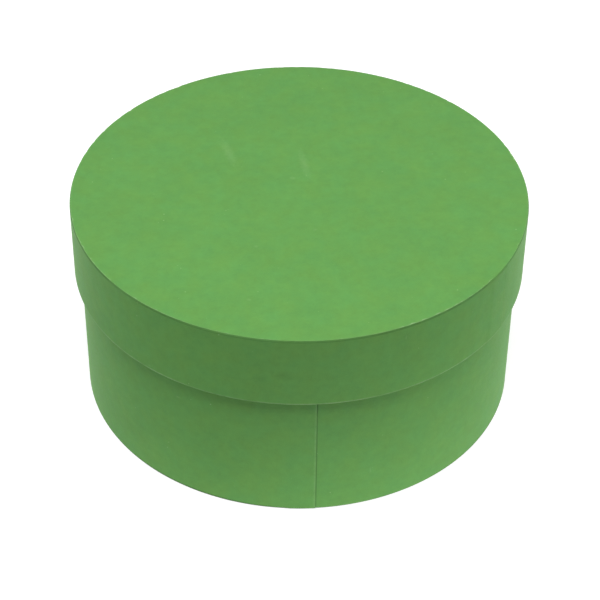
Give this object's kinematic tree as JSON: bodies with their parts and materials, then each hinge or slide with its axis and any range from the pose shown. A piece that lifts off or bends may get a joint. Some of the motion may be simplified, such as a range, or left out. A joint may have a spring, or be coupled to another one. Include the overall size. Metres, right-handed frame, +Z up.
{
  "type": "round flower box",
  "caption": "Round rigid cardboard gift box for flowers, covered in matte coloured paper, with a deep lid that lifts straight off.",
  "frame": {"origin": "centre of the underside, on the surface that the box stands on", "axes": "+Z up along the box's round axis; -Y is the front, where the base's paper overlap is"},
  "size_m": [0.2, 0.2, 0.098],
  "materials": {
    "green_paper": "matte",
    "white_paper": "matte",
    "greyboard": "matte",
    "kraft_tape": "matte"
  },
  "bodies": {
    "base": {"base_wall_board": "greyboard", "base_wall_tape": "kraft_tape", "base_bottom_board": "greyboard", "base_outer_wrap": "green_paper", "base_inner_lining": "white_paper", "base_floor_paper": "white_paper", "base_underside_paper": "green_paper"},
    "lid": {"lid_rim_board": "greyboard", "lid_rim_tape": "kraft_tape", "lid_top_board": "greyboard", "lid_outer_wrap": "green_paper", "lid_inner_lining": "white_paper", "lid_ceiling_paper": "white_paper", "lid_top_cover": "green_paper"}
  },
  "joints": [
    {"name": "lid_lift", "type": "slide", "parent": "base", "child": "lid", "axis": [0, 0, 1], "range_m": [0, 0.15]}
  ]
}
